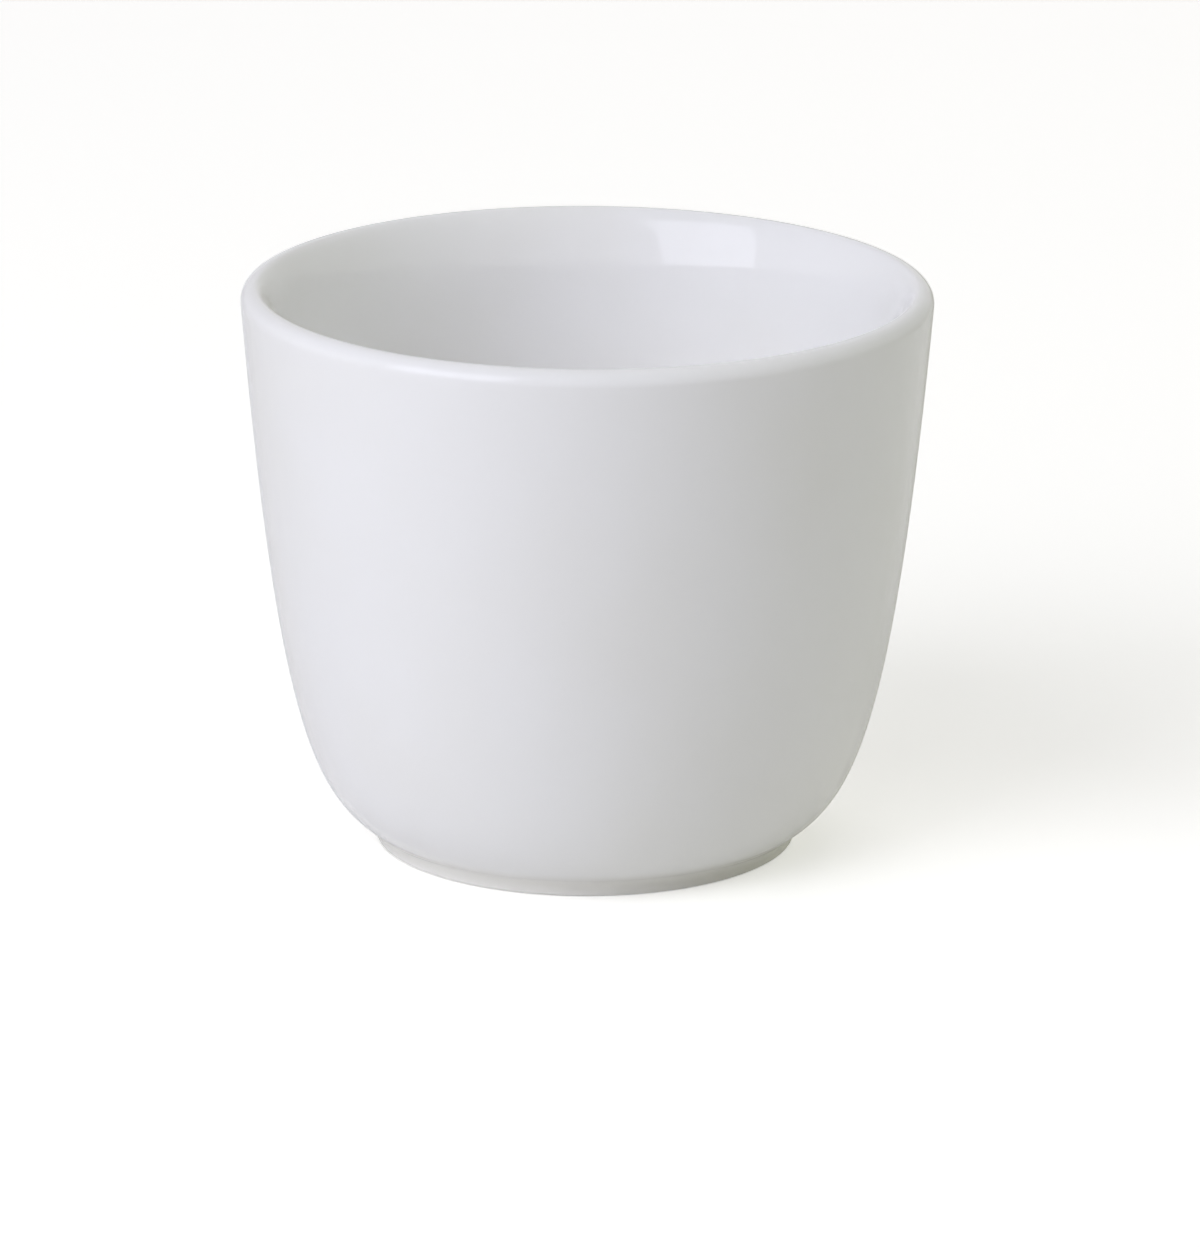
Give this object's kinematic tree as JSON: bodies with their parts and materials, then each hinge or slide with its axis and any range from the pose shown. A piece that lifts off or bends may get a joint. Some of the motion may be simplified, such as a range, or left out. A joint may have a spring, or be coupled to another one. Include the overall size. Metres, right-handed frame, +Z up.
{
  "type": "tea cup",
  "caption": "Round porcelain tea cup without a handle: a rounded bowl opening gently to a thick rounded lip, on a low foot ring, for drinking hot tea.",
  "frame": {"origin": "on the cup's axis, at the bare standing face of the foot ring", "axes": "+Z up along the cup's axis, towards the lip; X and Y are any two square directions, as the cup is round"},
  "size_m": [0.076, 0.076, 0.0629],
  "materials": {
    "biscuit": "bare fired porcelain, matt and faintly warm",
    "glaze": "glossy clear glaze over white porcelain, very slightly wavy"
  },
  "bodies": {
    "root": {"bowl": "biscuit", "foot_ring": "biscuit", "outer_glaze": "glaze", "inner_glaze": "glaze", "foot_well_glaze": "glaze"}
  },
  "joints": []
}
